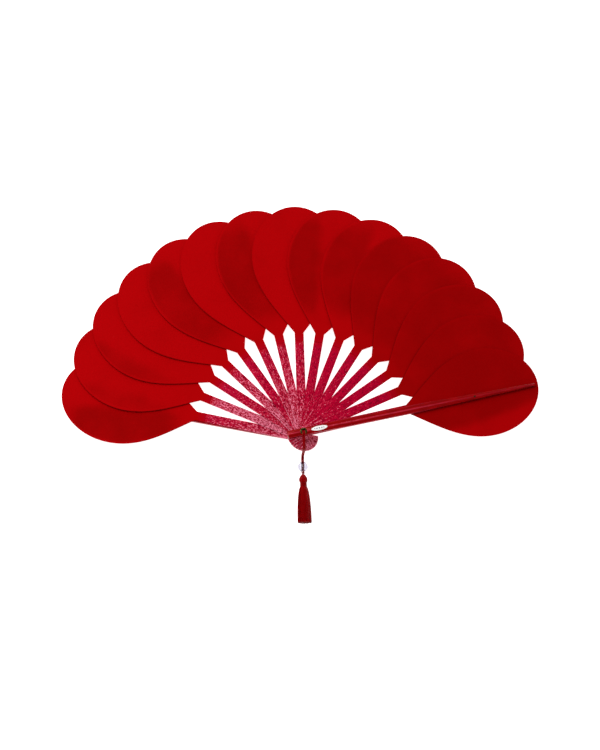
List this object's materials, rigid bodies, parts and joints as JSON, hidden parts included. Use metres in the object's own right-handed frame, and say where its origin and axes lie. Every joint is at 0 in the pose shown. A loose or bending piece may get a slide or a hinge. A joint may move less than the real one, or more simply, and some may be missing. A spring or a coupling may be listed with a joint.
{
  "type": "folding hand fan",
  "caption": "Folding hand fan with overlapping teardrop silk petals on flat wooden ribs, two guard sticks, a hollow pivot eyelet, and a corded glass bead and tassel.",
  "frame": {"origin": "Centre of the pivot rivet's flat closed back face, which is the fan's lowest surface when it lies on its back.", "axes": "+Z is the pivot's axis from back to front; +Y is the open fan's mid-line, from the pivot to the top of its arc; +X points to the front guard's side."},
  "size_m": [0.4316, 0.3, 0.0273],
  "materials": {
    "guard_lacquer": "carved wood under dark red lacquer",
    "rib_wood": "thin wood strip dyed crimson, speckled open grain",
    "petal_silk": "red silk stretched on a stiff backing",
    "pivot_brass": "dark aged brass eyelet",
    "brad_metal": "dark aged brass pin",
    "label_paper": "small white coated paper sticker, no text",
    "tassel_cord": "twisted red cord",
    "bead_glass": "clear polished glass",
    "tassel_thread": "dark red silk threads"
  },
  "bodies": {
    "rear_leaf": {"rear_guard": "guard_lacquer", "rear_brad": "brad_metal", "rib_01": "rib_wood", "petal_01": "petal_silk", "pivot_rivet": "pivot_brass", "pivot_collar": "pivot_brass"},
    "leaf_02": {"rib_02": "rib_wood", "petal_02": "petal_silk"},
    "leaf_03": {"rib_03": "rib_wood", "petal_03": "petal_silk"},
    "leaf_04": {"rib_04": "rib_wood", "petal_04": "petal_silk"},
    "leaf_05": {"rib_05": "rib_wood", "petal_05": "petal_silk"},
    "leaf_06": {"rib_06": "rib_wood", "petal_06": "petal_silk"},
    "leaf_07": {"rib_07": "rib_wood", "petal_07": "petal_silk"},
    "leaf_08": {"rib_08": "rib_wood", "petal_08": "petal_silk"},
    "leaf_09": {"rib_09": "rib_wood", "petal_09": "petal_silk"},
    "leaf_10": {"rib_10": "rib_wood", "petal_10": "petal_silk"},
    "leaf_11": {"rib_11": "rib_wood", "petal_11": "petal_silk"},
    "leaf_12": {"rib_12": "rib_wood", "petal_12": "petal_silk"},
    "leaf_13": {"rib_13": "rib_wood", "petal_13": "petal_silk"},
    "leaf_14": {"rib_14": "rib_wood", "petal_14": "petal_silk"},
    "front_leaf": {"rib_15": "rib_wood", "petal_15": "petal_silk", "front_guard": "guard_lacquer", "front_brad": "brad_metal", "guard_label": "label_paper"},
    "tassel": {"cord_strand_right": "tassel_cord", "cord_strand_left": "tassel_cord", "glass_bead": "bead_glass", "cord_knot": "tassel_cord", "tassel_crown": "tassel_thread", "tassel_binding": "tassel_thread", "tassel_skirt": "tassel_thread"}
  },
  "joints": [
    {"name": "fan_fold", "type": "hinge", "parent": "rear_leaf", "child": "front_leaf", "pos_m": [0, 0, 0.0226], "axis": [0, 0, 1], "range_deg": [0, 155.1]},
    {"name": "leaf_02_fold", "type": "hinge", "parent": "rear_leaf", "child": "leaf_02", "pos_m": [0, 0, 0.0055], "axis": [0, 0, 1], "range_deg": [0, 11.08]},
    {"name": "leaf_03_fold", "type": "hinge", "parent": "rear_leaf", "child": "leaf_03", "pos_m": [0, 0, 0.00665], "axis": [0, 0, 1], "range_deg": [0, 22.16]},
    {"name": "leaf_04_fold", "type": "hinge", "parent": "rear_leaf", "child": "leaf_04", "pos_m": [0, 0, 0.0078], "axis": [0, 0, 1], "range_deg": [0, 33.24]},
    {"name": "leaf_05_fold", "type": "hinge", "parent": "rear_leaf", "child": "leaf_05", "pos_m": [0, 0, 0.00895], "axis": [0, 0, 1], "range_deg": [0, 44.31]},
    {"name": "leaf_06_fold", "type": "hinge", "parent": "rear_leaf", "child": "leaf_06", "pos_m": [0, 0, 0.0101], "axis": [0, 0, 1], "range_deg": [0, 55.39]},
    {"name": "leaf_07_fold", "type": "hinge", "parent": "rear_leaf", "child": "leaf_07", "pos_m": [0, 0, 0.01125], "axis": [0, 0, 1], "range_deg": [0, 66.47]},
    {"name": "leaf_08_fold", "type": "hinge", "parent": "rear_leaf", "child": "leaf_08", "pos_m": [0, 0, 0.0124], "axis": [0, 0, 1], "range_deg": [0, 77.55]},
    {"name": "leaf_09_fold", "type": "hinge", "parent": "rear_leaf", "child": "leaf_09", "pos_m": [0, 0, 0.01355], "axis": [0, 0, 1], "range_deg": [0, 88.63]},
    {"name": "leaf_10_fold", "type": "hinge", "parent": "rear_leaf", "child": "leaf_10", "pos_m": [0, 0, 0.0147], "axis": [0, 0, 1], "range_deg": [0, 99.71]},
    {"name": "leaf_11_fold", "type": "hinge", "parent": "rear_leaf", "child": "leaf_11", "pos_m": [0, 0, 0.01585], "axis": [0, 0, 1], "range_deg": [0, 110.79]},
    {"name": "leaf_12_fold", "type": "hinge", "parent": "rear_leaf", "child": "leaf_12", "pos_m": [0, 0, 0.017], "axis": [0, 0, 1], "range_deg": [0, 121.86]},
    {"name": "leaf_13_fold", "type": "hinge", "parent": "rear_leaf", "child": "leaf_13", "pos_m": [0, 0, 0.01815], "axis": [0, 0, 1], "range_deg": [0, 132.94]},
    {"name": "leaf_14_fold", "type": "hinge", "parent": "rear_leaf", "child": "leaf_14", "pos_m": [0, 0, 0.0193], "axis": [0, 0, 1], "range_deg": [0, 144.02]},
    {"name": "tassel_swing", "type": "hinge", "parent": "rear_leaf", "child": "tassel", "pos_m": [0, 0, 0.0247], "axis": [0, 0, 1], "range_deg": [-60, 60]}
  ],
  "couplings": [
    {"joint": "leaf_02_fold", "follows": "fan_fold", "ratio": 0.071429},
    {"joint": "leaf_03_fold", "follows": "fan_fold", "ratio": 0.14286},
    {"joint": "leaf_04_fold", "follows": "fan_fold", "ratio": 0.21429},
    {"joint": "leaf_05_fold", "follows": "fan_fold", "ratio": 0.28571},
    {"joint": "leaf_06_fold", "follows": "fan_fold", "ratio": 0.35714},
    {"joint": "leaf_07_fold", "follows": "fan_fold", "ratio": 0.42857},
    {"joint": "leaf_08_fold", "follows": "fan_fold", "ratio": 0.5},
    {"joint": "leaf_09_fold", "follows": "fan_fold", "ratio": 0.57143},
    {"joint": "leaf_10_fold", "follows": "fan_fold", "ratio": 0.64286},
    {"joint": "leaf_11_fold", "follows": "fan_fold", "ratio": 0.71429},
    {"joint": "leaf_12_fold", "follows": "fan_fold", "ratio": 0.78571},
    {"joint": "leaf_13_fold", "follows": "fan_fold", "ratio": 0.85714},
    {"joint": "leaf_14_fold", "follows": "fan_fold", "ratio": 0.92857}
  ]
}
